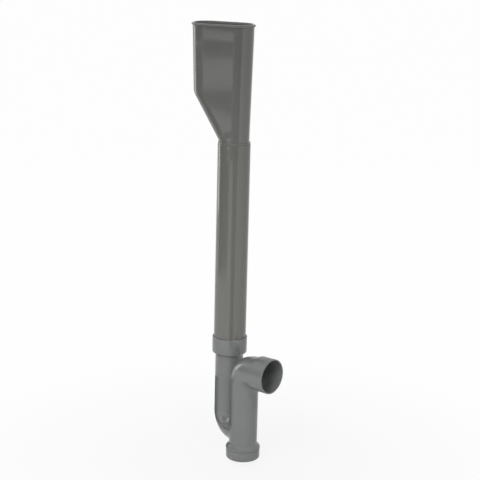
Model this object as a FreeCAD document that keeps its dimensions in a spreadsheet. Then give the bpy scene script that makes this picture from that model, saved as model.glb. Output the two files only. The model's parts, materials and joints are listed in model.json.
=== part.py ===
"""Double inlet trap: a washing-machine trap with a standpipe and an oval hopper for two hoses.

Millimetres, +Z up. The origin is the centre of the outlet socket's mouth and the outlet points
along +X, so the riser stands at a negative X and the outlet's own axis lies at a height of zero.
"""
import FreeCAD, Part
import math
import os

import Sketcher

# Driving sizes: name, value, meaning
SIZES = [
    ("pipe_od", 40.0, "outside diameter of the standpipe"),
    ("pipe_wall", 1.8, "wall of the standpipe"),
    ("pipe_length", 264.0, "cut length of the standpipe"),
    ("pipe_chamfer", 0.8, "chamfer on both ends of the standpipe"),
    ("socket_gap", 0.1, "radial clearance of a pipe in a solvent socket"),
    ("socket_wall", 1.6, "wall of both sockets"),
    ("socket_depth", 20.0, "depth of both sockets to their stop"),
    ("tube_od", 35.0, "outside diameter of the trap's own tube"),
    ("tube_wall", 1.8, "wall of the trap's own tube"),
    ("throat_radius", 0.6, "inside radius of both bends"),
    ("leg_gap", 1.5, "gap between the inlet leg and the riser"),
    ("outlet_turn", 18.0, "angle of the leg off the outlet's line, in degrees"),
    ("water_seal", 50.0, "depth of water between the dip and the crest"),
    ("inlet_rise", 33.0, "height of the inlet socket's mouth over the outlet axis"),
    ("inlet_flare", 3.0, "length of the cone under the inlet socket"),
    ("outlet_flare", 5.0, "length of the cone behind the outlet socket"),
    ("cleanout_drop", 21.5, "lower bend's axis to the underside of the cleanout collar"),
    ("collar_proud", 0.4, "how far the cleanout collar stands out over the cap"),
    ("collar_height", 6.5, "height of the cleanout collar with its shoulder"),
    ("collar_band", 2.6, "upright band at the foot of the cleanout collar"),
    ("collar_round", 2.0, "rounding over the collar's widest edge"),
    ("cleanout_bore", 31.4, "bore of the cleanout neck and of its seal"),
    ("neck_lead", 0.6, "lead-in chamfer at the foot of the cleanout neck"),
    ("neck_gap", 0.35, "radial clearance of the cleanout neck in the cap"),
    ("cap_od", 42.2, "outside diameter of the cleanout cap"),
    ("cap_wall", 1.7, "side wall of the cap"),
    ("cap_height", 12.7, "height of the cap"),
    ("cap_floor", 2.2, "floor of the cap"),
    ("cap_recess", 2.0, "depth of the recess under the cap"),
    ("cap_gap", 0.4, "gap between the cap's rim and the collar"),
    ("cap_rim", 4.5, "width of the rim round the recess under the cap"),
    ("cap_round", 3.0, "rounding at the foot of the cap"),
    ("grip_width", 6.0, "width of the grip bar in the cap's recess"),
    ("seal_thickness", 2.0, "thickness of the cap's flat seal"),
    ("seal_gap", 0.4, "radial clearance of the seal in the cap"),
    ("spigot_gap", 0.3, "radial clearance of the hopper's spigot in the standpipe"),
    ("spigot_length", 28.0, "length of the hopper's spigot below its stop ring"),
    ("spigot_wall", 2.2, "wall of the hopper's spigot"),
    ("spigot_lead", 2.0, "height of the lead-in cone on the spigot"),
    ("lead_step", 0.6, "radial step of the lead-in cone on the spigot"),
    ("ring_proud", 1.8, "how far the hopper's stop ring stands out over its spigot"),
    ("ring_height", 2.2, "height of the hopper's stop ring"),
    ("hopper_wall", 1.8, "wall of the hopper"),
    ("hopper_height", 143.0, "height of the hopper over the standpipe"),
    ("hopper_turn", 20.0, "turn of the hopper's long side off the outlet's line, in degrees"),
    ("corner_height", 59.5, "height of the hopper's slanted shoulder over the standpipe"),
    ("corner_ease", 4.0, "height over which the shoulder's corner is eased, each way"),
    ("neck_flat", 0.6, "straight part of the hopper's section at its neck"),
    ("corner_span", 34.4, "distance between the hopper's end centres at the shoulder"),
    ("rim_span", 37.0, "distance between the hopper's end centres at the rim"),
    ("rim_draft", 1.6, "growth of the hopper's end radius from its foot to the rim"),
    ("rim_lean", 1.5, "outward lean of the hopper's straight side at the rim"),
    ("rim_bead", 1.5, "how far the bead stands out round the hopper's rim"),
    ("bead_height", 3.0, "height of the rim bead"),
    ("bead_round", 1.4, "rounding of the rim bead's two edges"),
    ("rim_lip", 0.3, "wall standing over the rim bead"),
    ("cut_past", 1.0, "overrun of a bore past the face that it opens"),
]

document = FreeCAD.newDocument("double_inlet_trap")
sheet = document.addObject("Spreadsheet::Sheet", "Sizes")
for row, (alias, value, meaning) in enumerate(SIZES, start=1):
    sheet.set(f"A{row}", alias)
    sheet.set(f"B{row}", str(value))
    sheet.set(f"C{row}", meaning)
    sheet.setAlias(f"B{row}", alias)
document.recompute()

# Lengths worked out from the driving sizes
TUBE_R = "(Sizes.tube_od / 2)"
BORE_R = f"({TUBE_R} - Sizes.tube_wall)"
BEND_R = f"({TUBE_R} + Sizes.throat_radius)"
SOCKET_BORE_R = "(Sizes.pipe_od / 2 + Sizes.socket_gap)"
SOCKET_R = f"({SOCKET_BORE_R} + Sizes.socket_wall)"
OUTLET_REACH = f"({BEND_R} + Sizes.outlet_flare + Sizes.socket_depth)"
LEG_OFFSET = "(Sizes.tube_od + Sizes.leg_gap)"
LOWER_AXIS = f"(-2 * {BORE_R} - Sizes.water_seal)"
INLET_STOP = "(Sizes.inlet_rise - Sizes.socket_depth)"
LEG_TOP = f"({INLET_STOP} - Sizes.inlet_flare)"
COLLAR_FOOT = f"({LOWER_AXIS} - Sizes.cleanout_drop)"
CLEANOUT_BORE_R = "(Sizes.cleanout_bore / 2)"
CLEANOUT_TOP = f"({COLLAR_FOOT} + Sizes.collar_band)"
CAP_BOTTOM = f"({COLLAR_FOOT} - Sizes.cap_gap - Sizes.cap_height)"
CAP_R = "(Sizes.cap_od / 2)"
CAP_BORE_R = f"({CAP_R} - Sizes.cap_wall)"
COLLAR_R = f"({CAP_R} + Sizes.collar_proud)"
SEAT_Z = f"({CAP_BOTTOM} + Sizes.cap_recess + Sizes.cap_floor)"
NECK_END = f"({SEAT_Z} + Sizes.seal_thickness)"
NECK_R = f"({CAP_BORE_R} - Sizes.neck_gap)"
LEG_X = f"(-{OUTLET_REACH} - {LEG_OFFSET} * cos(Sizes.outlet_turn))"
LEG_Y = f"({LEG_OFFSET} * sin(Sizes.outlet_turn))"
PIPE_TOP = f"({INLET_STOP} + Sizes.pipe_length)"
PIPE_BORE_R = "(Sizes.pipe_od / 2 - Sizes.pipe_wall)"
SPIGOT_R = f"({PIPE_BORE_R} - Sizes.spigot_gap)"
PAST = "Sizes.cut_past"

RIGHT = FreeCAD.Vector(1, 0, 0)
BACK = FreeCAD.Vector(0, 1, 0)
UP = FreeCAD.Vector(0, 0, 1)
TO_X = FreeCAD.Rotation(BACK, 90)
UPRIGHT_SKETCH = FreeCAD.Rotation(RIGHT, 90)
# A quarter bend opens from its own +X to its own +Y
LEG_BEND = FreeCAD.Rotation(-RIGHT, -UP, -BACK, "XYZ")
ELBOW_BEND = FreeCAD.Rotation(-RIGHT, UP, BACK, "XYZ")


def bind(item, expressions):
    """Ties properties of an object to the sheet."""
    for name, expression in expressions.items():
        item.setExpression(name, expression)
    return item


def solid(kind, name, sizes, place=None, rotation=None):
    """Adds a Part primitive with its sizes and its place tied to the sheet."""
    item = document.addObject(f"Part::{kind}", name)
    item.Placement = FreeCAD.Placement(FreeCAD.Vector(), rotation or FreeCAD.Rotation())
    bind(item, sizes)
    bind(item, {f"Placement.Base.{axis}": value for axis, value in (place or {}).items()})
    return item


def fuse(name, items):
    """Joins solids into one."""
    item = document.addObject("Part::MultiFuse", name)
    item.Shapes = items
    item.Refine = False
    return item


def cut(name, base, tool):
    """Takes one solid away from another."""
    item = document.addObject("Part::Cut", name)
    item.Base = base
    item.Tool = tool
    item.Refine = False
    return item


def outline(sketch, points):
    """Draws a closed outline of straight lines whose corners are tied to the sheet."""
    # The corners start evenly round a circle and are then pulled to their places
    count = len(points)
    start = [
        FreeCAD.Vector(math.cos(2 * math.pi * n / count), math.sin(2 * math.pi * n / count), 0)
        for n in range(count)
    ]
    for n in range(count):
        sketch.addGeometry(Part.LineSegment(start[n], start[(n + 1) % count]), False)
    for n in range(count):
        sketch.addConstraint(Sketcher.Constraint("Coincident", n, 2, (n + 1) % count, 1))
    for n, (across, along) in enumerate(points):
        for kind, value, first in (("DistanceX", across, start[n].x), ("DistanceY", along, start[n].y)):
            index = sketch.addConstraint(Sketcher.Constraint(kind, -1, 1, n, 1, first))
            sketch.setExpression(f"Constraints[{index}]", value)
    return sketch


def turned(name, points):
    """Revolves an outline of (radius, height) corners about Z."""
    sketch = document.addObject("Sketcher::SketchObject", f"{name}_profile")
    sketch.Placement = FreeCAD.Placement(FreeCAD.Vector(), UPRIGHT_SKETCH)
    outline(sketch, points)
    item = document.addObject("Part::Revolution", name)
    item.Source = sketch
    item.Axis = UP
    item.Angle = 360
    item.Solid = True
    return item


def turned_body(name, points, place):
    """Starts a sub-part that is a revolved outline of (radius, height) corners."""
    body = document.addObject("PartDesign::Body", name)
    bind(body, {f"Placement.Base.{axis}": value for axis, value in place.items()})
    sketch = body.newObject("Sketcher::SketchObject", f"{name}_profile")
    sketch.AttachmentSupport = (origin_plane(body, "XZ_Plane"), [""])
    sketch.MapMode = "FlatFace"
    outline(sketch, points)
    revolution = body.newObject("PartDesign::Revolution", f"{name}_turning")
    revolution.Profile = sketch
    revolution.ReferenceAxis = (sketch, ["V_Axis"])
    revolution.Angle = 360
    return body


def origin_plane(body, role):
    """Finds one of a body's own origin planes."""
    return next(plane for plane in body.Origin.OriginFeatures if plane.Role == role)


def circle_edge(shape, radius, pick):
    """Gives the number of the highest or lowest circular edge of a radius, with max or min as pick."""
    found = [
        (edge.Curve.Center.z, number)
        for number, edge in enumerate(shape.Edges, start=1)
        if isinstance(edge.Curve, Part.Circle) and math.isclose(edge.Curve.Radius, radius, abs_tol=1e-4)
    ]
    return pick(found)[1]


def tube_run(name, radius, riser_foot, leg_top):
    """Makes the trap's tube at one radius: the riser with its elbow, and the leg with its bend.

    Both stand on the riser's axis, with the leg straight behind the outlet.
    """
    riser = solid(
        "Cylinder", f"{name}_riser",
        {"Radius": radius, "Height": f"-{BEND_R} - {riser_foot}"},
        {"z": riser_foot},
    )
    elbow = solid(
        "Torus", f"{name}_elbow",
        {"Radius1": BEND_R, "Radius2": radius},
        {"x": BEND_R, "z": f"-{BEND_R}"},
        ELBOW_BEND,
    )
    elbow.Angle3 = 90
    leg = solid(
        "Cylinder", f"{name}_leg",
        {"Radius": radius, "Height": f"{leg_top} - {LOWER_AXIS} - {BEND_R}"},
        {"x": f"-{LEG_OFFSET}", "z": f"{LOWER_AXIS} + {BEND_R}"},
    )
    bend = solid(
        "Torus", f"{name}_bend",
        {"Radius1": BEND_R, "Radius2": radius},
        {"x": f"{BEND_R} - {LEG_OFFSET}", "z": f"{LOWER_AXIS} + {BEND_R}"},
        LEG_BEND,
    )
    bend.Angle3 = 90
    passage = solid(
        "Cylinder", f"{name}_passage",
        {"Radius": radius, "Height": f"{LEG_OFFSET} - {BEND_R}"},
        {"x": f"{BEND_R} - {LEG_OFFSET}", "z": LOWER_AXIS},
        TO_X,
    )
    return [riser, elbow], [leg, bend, passage]


def on_trap(name, riser_side, leg_side):
    """Joins the two sides of the trap, with the leg's side turned about the riser."""
    leg = fuse(f"{name}_leg_side", leg_side)
    leg.Placement = FreeCAD.Placement(FreeCAD.Vector(), FreeCAD.Rotation(UP, -1))
    bind(leg, {"Placement.Rotation.Angle": "-Sizes.outlet_turn"})
    whole = fuse(name, riser_side + [leg])
    bind(whole, {"Placement.Base.x": f"-{OUTLET_REACH}"})
    return whole


def cleanout_end():
    """Makes the collar and the neck that the cleanout cap screws on, below the riser."""
    neck_length = f"({COLLAR_FOOT} - {NECK_END})"
    end = turned("cleanout_end", [
        ("0", "0"),
        (f"{NECK_R} - Sizes.neck_lead", "0"),
        (NECK_R, "Sizes.neck_lead"),
        (NECK_R, neck_length),
        (COLLAR_R, neck_length),
        (COLLAR_R, f"{neck_length} + Sizes.collar_band"),
        (TUBE_R, f"{neck_length} + Sizes.collar_height"),
        ("0", f"{neck_length} + Sizes.collar_height"),
    ])
    document.recompute()
    number = circle_edge(end.Shape, sheet.cap_od / 2 + sheet.collar_proud, max)
    rounded = document.addObject("Part::Fillet", "cleanout_collar")
    rounded.Base = end
    rounded.Edges = [(number, sheet.collar_round, sheet.collar_round)]
    bind(rounded, {"Placement.Base.z": NECK_END})
    return rounded


def trap_body():
    """Makes the trap's one moulding: two sockets, the leg, the bend, the riser and the elbow."""
    riser_side, leg_side = tube_run("tube", TUBE_R, COLLAR_FOOT, LEG_TOP)
    riser_side.append(cleanout_end())
    riser_side.append(solid(
        "Cone", "outlet_cone",
        {"Radius1": TUBE_R, "Radius2": SOCKET_R, "Height": "Sizes.outlet_flare"},
        {"x": BEND_R}, TO_X,
    ))
    riser_side.append(solid(
        "Cylinder", "outlet_socket",
        {"Radius": SOCKET_R, "Height": "Sizes.socket_depth"},
        {"x": f"{BEND_R} + Sizes.outlet_flare"}, TO_X,
    ))
    leg_side.append(solid(
        "Cone", "inlet_cone",
        {"Radius1": TUBE_R, "Radius2": SOCKET_R, "Height": "Sizes.inlet_flare"},
        {"x": f"-{LEG_OFFSET}", "z": LEG_TOP},
    ))
    leg_side.append(solid(
        "Cylinder", "inlet_socket",
        {"Radius": SOCKET_R, "Height": "Sizes.socket_depth"},
        {"x": f"-{LEG_OFFSET}", "z": INLET_STOP},
    ))
    outside = on_trap("trap_outside", riser_side, leg_side)

    riser_bore, leg_bore = tube_run("bore", BORE_R, CLEANOUT_TOP, LEG_TOP)
    riser_bore.append(solid(
        "Cylinder", "cleanout_bore",
        {"Radius": CLEANOUT_BORE_R, "Height": f"{CLEANOUT_TOP} - {NECK_END} + {PAST}"},
        {"z": f"{NECK_END} - {PAST}"},
    ))
    riser_bore.append(solid(
        "Cone", "outlet_cone_bore",
        {"Radius1": BORE_R, "Radius2": PIPE_BORE_R, "Height": "Sizes.outlet_flare"},
        {"x": BEND_R}, TO_X,
    ))
    riser_bore.append(solid(
        "Cylinder", "outlet_socket_bore",
        {"Radius": SOCKET_BORE_R, "Height": f"Sizes.socket_depth + {PAST}"},
        {"x": f"{BEND_R} + Sizes.outlet_flare"}, TO_X,
    ))
    leg_bore.append(solid(
        "Cone", "inlet_cone_bore",
        {"Radius1": BORE_R, "Radius2": PIPE_BORE_R, "Height": "Sizes.inlet_flare"},
        {"x": f"-{LEG_OFFSET}", "z": LEG_TOP},
    ))
    leg_bore.append(solid(
        "Cylinder", "inlet_socket_bore",
        {"Radius": SOCKET_BORE_R, "Height": f"Sizes.socket_depth + {PAST}"},
        {"x": f"-{LEG_OFFSET}", "z": INLET_STOP},
    ))
    waterway = on_trap("waterway", riser_bore, leg_bore)
    return cut("trap_body", outside, waterway)


def standpipe():
    """Makes the plain pipe that stands in the inlet socket on its stop."""
    outside = "Sizes.pipe_od / 2"
    return turned_body("standpipe", [
        (PIPE_BORE_R, "0"),
        (f"{outside} - Sizes.pipe_chamfer", "0"),
        (outside, "Sizes.pipe_chamfer"),
        (outside, "Sizes.pipe_length - Sizes.pipe_chamfer"),
        (f"{outside} - Sizes.pipe_chamfer", "Sizes.pipe_length"),
        (PIPE_BORE_R, "Sizes.pipe_length"),
    ], {"x": LEG_X, "y": LEG_Y, "z": INLET_STOP})


def cleanout_seal():
    """Makes the flat ring between the cap's floor and the end of the neck."""
    edge_r = f"{CAP_BORE_R} - Sizes.seal_gap"
    return turned_body("cleanout_seal", [
        (CLEANOUT_BORE_R, "0"),
        (edge_r, "0"),
        (edge_r, "Sizes.seal_thickness"),
        (CLEANOUT_BORE_R, "Sizes.seal_thickness"),
    ], {"x": f"-{OUTLET_REACH}", "z": SEAT_Z})


def cleanout_cap():
    """Makes the screw cap with its rounded foot and the grip bar in its recess."""
    recess_r = f"({CAP_R} - Sizes.cap_rim)"
    floor_top = "Sizes.cap_recess + Sizes.cap_floor"
    body = turned_body("cleanout_cap", [
        ("0", "Sizes.cap_recess"),
        (recess_r, "Sizes.cap_recess"),
        (recess_r, "0"),
        (CAP_R, "0"),
        (CAP_R, "Sizes.cap_height"),
        (CAP_BORE_R, "Sizes.cap_height"),
        (CAP_BORE_R, floor_top),
        ("0", floor_top),
    ], {"x": f"-{OUTLET_REACH}", "z": CAP_BOTTOM})
    document.recompute()

    turning = body.Tip
    foot = body.newObject("PartDesign::Fillet", "cap_foot")
    foot.Base = (turning, [f"Edge{circle_edge(turning.Shape, sheet.cap_od / 2, min)}"])
    bind(foot, {"Radius": "Sizes.cap_round"})
    document.recompute()

    bar = body.newObject("Sketcher::SketchObject", "grip_bar_outline")
    bar.AttachmentSupport = (origin_plane(body, "XY_Plane"), [""])
    bar.MapMode = "FlatFace"
    half = "Sizes.grip_width / 2"
    outline(bar, [
        (f"-{recess_r}", f"-{half}"),
        (recess_r, f"-{half}"),
        (recess_r, half),
        (f"-{recess_r}", half),
    ])
    pad = body.newObject("PartDesign::Pad", "grip_bar")
    pad.Profile = bar
    bind(pad, {"Length": "Sizes.cap_recess"})
    return body


class Hopper:
    """Worked-out lengths of the hopper. Heights are over the standpipe's top.

    Its section is an oval at every height. The right end's centre leans out steadily, and the left
    end's centre runs out along the slanted side to the corner and then up to the rim.
    """

    foot_left = "(Sizes.neck_flat / 2)"
    corner_left = "(Sizes.corner_span - Sizes.rim_lean * Sizes.corner_height / Sizes.hopper_height)"
    rim_left = "(Sizes.rim_span - Sizes.rim_lean)"
    ease_foot = "(Sizes.corner_height - Sizes.corner_ease)"
    ease_top = "(Sizes.corner_height + Sizes.corner_ease)"
    bead_foot = "(Sizes.hopper_height - Sizes.rim_lip - Sizes.bead_height)"
    past_rim = f"(Sizes.hopper_height + {PAST})"

    @staticmethod
    def end(height):
        """Gives the outside radius of both round ends at a height."""
        return f"({SPIGOT_R} + Sizes.rim_draft * {height} / Sizes.hopper_height)"

    @staticmethod
    def right(height):
        """Gives the centre of the right end at a height."""
        return f"(Sizes.neck_flat / 2 + Sizes.rim_lean * {height} / Sizes.hopper_height)"

    @classmethod
    def slanted_left(cls, height):
        """Gives the centre of the left end at a height on the slanted side."""
        share = f"({height} - Sizes.ring_height) / (Sizes.corner_height - Sizes.ring_height)"
        return f"({cls.foot_left} + ({cls.corner_left} - {cls.foot_left}) * {share})"

    @classmethod
    def upper_left(cls, height):
        """Gives the centre of the left end at a height over the corner."""
        share = f"({height} - Sizes.corner_height) / (Sizes.hopper_height - Sizes.corner_height)"
        return f"({cls.corner_left} + ({cls.rim_left} - {cls.corner_left}) * {share})"

    @classmethod
    def eased_left(cls):
        """Gives the centre of the left end half-way round the corner.

        The corner is a parabola that touches the slanted side and the upper side.
        """
        foot, top = cls.slanted_left(cls.ease_foot), cls.upper_left(cls.ease_top)
        return f"(({foot} + 2 * {cls.corner_left} + {top}) / 4)"


def oval(name, height, left, inset):
    """Draws one oval section of the hopper: two round ends joined by straight sides."""
    sketch = document.addObject("Sketcher::SketchObject", name)
    bind(sketch, {"Placement.Base.z": height})
    # The oval starts at a rough size, and the constraints then pull it into shape
    reach, radius = sheet.rim_span, sheet.pipe_od / 2
    across, deep = RIGHT * reach, BACK * radius
    right_end = Part.Circle(across, UP, radius)
    left_end = Part.Circle(-across, UP, radius)
    sketch.addGeometry(Part.ArcOfCircle(right_end, -math.pi / 2, math.pi / 2), False)
    sketch.addGeometry(Part.LineSegment(across + deep, deep - across), False)
    sketch.addGeometry(Part.ArcOfCircle(left_end, math.pi / 2, 3 * math.pi / 2), False)
    sketch.addGeometry(Part.LineSegment(-across - deep, across - deep), False)
    for side in range(4):
        sketch.addConstraint(Sketcher.Constraint("Tangent", side, 2, (side + 1) % 4, 1))
    sketch.addConstraint(Sketcher.Constraint("Equal", 0, 2))
    sketch.addConstraint(Sketcher.Constraint("PointOnObject", 0, 3, -1))
    sketch.addConstraint(Sketcher.Constraint("PointOnObject", 2, 3, -1))
    ties = (
        (Sketcher.Constraint("DistanceX", -1, 1, 0, 3, reach), Hopper.right(height)),
        (Sketcher.Constraint("DistanceX", 2, 3, -1, 1, reach), left),
        (Sketcher.Constraint("Radius", 0, radius), f"{Hopper.end(height)} - {inset}"),
    )
    for constraint, value in ties:
        index = sketch.addConstraint(constraint)
        sketch.setExpression(f"Constraints[{index}]", value)
    return sketch


def loft(name, sections, ruled):
    """Lofts a solid through sections."""
    item = document.addObject("Part::Loft", name)
    item.Sections = sections
    item.Solid = True
    item.Ruled = ruled
    return item


def oval_funnel(name, inset, top):
    """Lofts the hopper from its stop ring over the slanted side to a top height."""
    foot = oval(f"{name}_foot", "Sizes.ring_height", Hopper.foot_left, inset)
    ease_foot = oval(f"{name}_ease_foot", Hopper.ease_foot, Hopper.slanted_left(Hopper.ease_foot), inset)
    ease = oval(f"{name}_ease", "Sizes.corner_height", Hopper.eased_left(), inset)
    ease_top = oval(f"{name}_ease_top", Hopper.ease_top, Hopper.upper_left(Hopper.ease_top), inset)
    rim = oval(f"{name}_rim", top, Hopper.upper_left(top), inset)
    return [
        loft(f"{name}_slant", [foot, ease_foot], True),
        loft(f"{name}_corner", [ease_foot, ease, ease_top], False),
        loft(f"{name}_upper", [ease_top, rim], True),
    ]


def rim_bead():
    """Makes the rounded bead outside the rim, as a plate that the hollow is cut from later."""
    foot = Hopper.bead_foot
    section = oval("bead_outline", foot, Hopper.upper_left(foot), "(-Sizes.rim_bead)")
    plate = document.addObject("Part::Extrusion", "bead_plate")
    plate.Base = section
    plate.Solid = True
    plate.DirMode = "Custom"
    plate.Dir = UP
    bind(plate, {"LengthFwd": "Sizes.bead_height"})
    document.recompute()
    bead = document.addObject("Part::Fillet", "rim_bead")
    bead.Base = plate
    bead.Edges = [
        (number, sheet.bead_round, sheet.bead_round)
        for number, edge in enumerate(plate.Shape.Edges, start=1)
        if edge.BoundBox.ZLength < sheet.bead_height / 2
    ]
    return bead


def double_inlet_hopper():
    """Makes the oval hopper whose spigot stands in the pipe and whose ring rests on its rim."""
    spigot_foot = f"{SPIGOT_R} - Sizes.lead_step"
    outside = oval_funnel("hopper_outside", "0", "Sizes.hopper_height")
    outside.append(rim_bead())
    outside.append(solid(
        "Cylinder", "stop_ring",
        {"Radius": f"{SPIGOT_R} + Sizes.ring_proud", "Height": "Sizes.ring_height"},
    ))
    outside.append(solid(
        "Cylinder", "spigot",
        {"Radius": SPIGOT_R, "Height": "Sizes.spigot_length - Sizes.spigot_lead"},
        {"z": "Sizes.spigot_lead - Sizes.spigot_length"},
    ))
    outside.append(solid(
        "Cone", "spigot_lead_in",
        {"Radius1": spigot_foot, "Radius2": SPIGOT_R, "Height": "Sizes.spigot_lead"},
        {"z": "-Sizes.spigot_length"},
    ))
    inside = oval_funnel("hopper_inside", "Sizes.hopper_wall", Hopper.past_rim)
    inside.append(solid(
        "Cylinder", "spigot_bore",
        {
            "Radius": f"{SPIGOT_R} - Sizes.spigot_wall",
            "Height": f"Sizes.spigot_length + Sizes.ring_height + 2 * {PAST}",
        },
        {"z": f"-Sizes.spigot_length - {PAST}"},
    ))
    hopper = cut("double_inlet_hopper", fuse("hopper_shell", outside), fuse("hopper_hollow", inside))
    hopper.Placement = FreeCAD.Placement(FreeCAD.Vector(), FreeCAD.Rotation(UP, 1))
    bind(hopper, {
        "Placement.Rotation.Angle": "Sizes.hopper_turn",
        "Placement.Base.x": LEG_X,
        "Placement.Base.y": LEG_Y,
        "Placement.Base.z": PIPE_TOP,
    })
    return hopper


def check_and_write(parts):
    """Stops on any failed object or bad shape, then writes one STEP file for each sub-part."""
    for item in document.Objects:
        if "Invalid" in item.State or "Error" in item.State:
            raise RuntimeError(f"{item.Name} failed: {item.State}")
    for part in parts:
        if part.Shape.isNull() or not part.Shape.isValid() or len(part.Shape.Solids) != 1:
            raise RuntimeError(f"{part.Label} is not one valid solid")
    os.makedirs("parts", exist_ok=True)
    for part in parts:
        part.Shape.exportStep(f"parts/{part.Label}.step")
        box = part.Shape.optimalBoundingBox()
        print(
            f"{part.Label}: {part.Shape.Volume:.0f} mm3,"
            f" x {box.XMin:.1f} to {box.XMax:.1f}, y {box.YMin:.1f} to {box.YMax:.1f},"
            f" z {box.ZMin:.1f} to {box.ZMax:.1f}"
        )


PARTS = [trap_body(), standpipe(), double_inlet_hopper(), cleanout_cap(), cleanout_seal()]
document.recompute()
check_and_write(PARTS)
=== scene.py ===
import json
import math

import bmesh
import bpy
from bpy.props import FloatProperty, FloatVectorProperty, IntProperty, PointerProperty
from mathutils import Matrix, Quaternion, Vector
from mathutils.kdtree import KDTree


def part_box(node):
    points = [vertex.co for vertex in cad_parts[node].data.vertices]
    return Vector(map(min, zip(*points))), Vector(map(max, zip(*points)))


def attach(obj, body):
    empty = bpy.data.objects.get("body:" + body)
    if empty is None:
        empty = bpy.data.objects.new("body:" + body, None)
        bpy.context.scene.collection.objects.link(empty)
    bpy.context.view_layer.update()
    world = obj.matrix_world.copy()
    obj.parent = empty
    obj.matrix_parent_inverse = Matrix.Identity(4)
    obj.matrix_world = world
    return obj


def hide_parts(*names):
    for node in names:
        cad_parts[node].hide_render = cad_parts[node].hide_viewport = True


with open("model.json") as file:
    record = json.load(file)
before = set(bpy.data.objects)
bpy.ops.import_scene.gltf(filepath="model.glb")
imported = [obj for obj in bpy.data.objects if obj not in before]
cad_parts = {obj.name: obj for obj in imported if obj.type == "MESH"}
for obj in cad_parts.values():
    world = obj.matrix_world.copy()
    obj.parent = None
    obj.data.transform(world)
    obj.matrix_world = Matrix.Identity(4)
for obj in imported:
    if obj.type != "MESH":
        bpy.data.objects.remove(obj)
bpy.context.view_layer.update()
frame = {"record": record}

bl_info = {
    "name": "Double Inlet Trap",
    "version": (1, 0, 0),
    "blender": (4, 5, 0),
    "location": "View3D > Sidebar > Trap",
    "description": "Models a washing-machine trap with its standpipe, oval hopper and screwed cleanout",
    "category": "Add Mesh",
}

MM = 0.001
UP = Vector((0, 0, 1))
DOWN = Vector((0, 0, -1))
OUT = Vector((1, 0, 0))
QUARTER = math.pi / 2

# How far off a point may lie and still be on a ring, on the skirt's skin or on the bend's skin
NEAR = 0.02 * MM
NEAR_SKIRT = 0.2 * MM
NEAR_BEND = 0.5 * MM

# Points this close are one, and a face this much along a direction is square to it
DOUBLES = NEAR / 4
SQUARE = 0.999

# Rings in the straight runs, close together where one tube is joined to another
LEG_RINGS = 6
PASSAGE_RINGS = 8
RISER_RINGS = 24
RISER_TOP_RINGS = 3
BORE_RINGS = 20
SKIRT_RINGS = 12
PIPE_RINGS = 12

# Rings of the hopper: each way from its corner, and from the corner up to the bead
EASE_RINGS = 5
WALL_RINGS = 4

# Angles in degrees: edges up to the first are shaded smooth, and the others find the creases to soften
SMOOTH_ANGLE = 32
SKIRT_CREASE = 8
LEG_CREASE = 14

# Softening of a crease: points this close are merged, then all are evened out in rounds, by a share in each
CREASE_MERGE = 0.35 * MM
CREASE_ROUNDS = 14
CREASE_PULL = 0.5

# The lower bend is this much narrower at its end, so that no face of it lies in the riser's skin
END_STEP = 0.3 * MM

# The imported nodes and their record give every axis, stop and mouth, and the turns that free the cap.
BODY_LOW, BODY_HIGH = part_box("trap_body")
PIPE_LOW, PIPE_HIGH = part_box("standpipe")
HOPPER_LOW, HOPPER_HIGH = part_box("double_inlet_hopper")
CAP_LOW, CAP_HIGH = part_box("cleanout_cap")
SEAL_LOW, SEAL_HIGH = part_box("cleanout_seal")
OUTLET = frame["record"]["mounts"][0]
SOCKET_BORE = OUTLET["dims"]["r_mm"] * MM
SOCKET_DEPTH = OUTLET["dims"]["length_mm"] * MM
LEG_AXIS = (PIPE_LOW + PIPE_HIGH) / 2
RISER_AXIS = (SEAL_LOW + SEAL_HIGH) / 2
TO_RISER = Vector((RISER_AXIS.x - LEG_AXIS.x, RISER_AXIS.y - LEG_AXIS.y, 0))
LEG_SPACING = TO_RISER.length
TO_RISER.normalize()
CAP_TURN = next(joint for joint in frame["record"]["behaviour"]["joints"] if joint["name"] == "cap_turn")
CAP_TURNS = CAP_TURN["range_deg"][1] / 360


def on_leg(height):
    """A point of the leg's axis, which the standpipe and the hopper share."""
    return Vector((LEG_AXIS.x, LEG_AXIS.y, height))


def on_riser(height):
    """A point of the riser's axis, which the cleanout shares."""
    return Vector((RISER_AXIS.x, RISER_AXIS.y, height))


def length(name, description, millimetres):
    """A size that the sidebar shows as a length."""
    return FloatProperty(
        name=name, description=description, default=millimetres * MM, min=0.0, unit="LENGTH", precision=4
    )


def angle(name, description, degrees):
    """A size that the sidebar shows as an angle."""
    return FloatProperty(name=name, description=description, default=math.radians(degrees), subtype="ANGLE")


def colour(name, description, rgb):
    """A colour that the sidebar shows as a swatch."""
    return FloatVectorProperty(
        name=name, description=description, default=rgb, size=3, min=0.0, max=1.0, subtype="COLOR"
    )


def power(name, description, watts):
    """A power that the sidebar shows in watts."""
    return FloatProperty(name=name, description=description, default=watts, min=0.0, unit="POWER")


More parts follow.
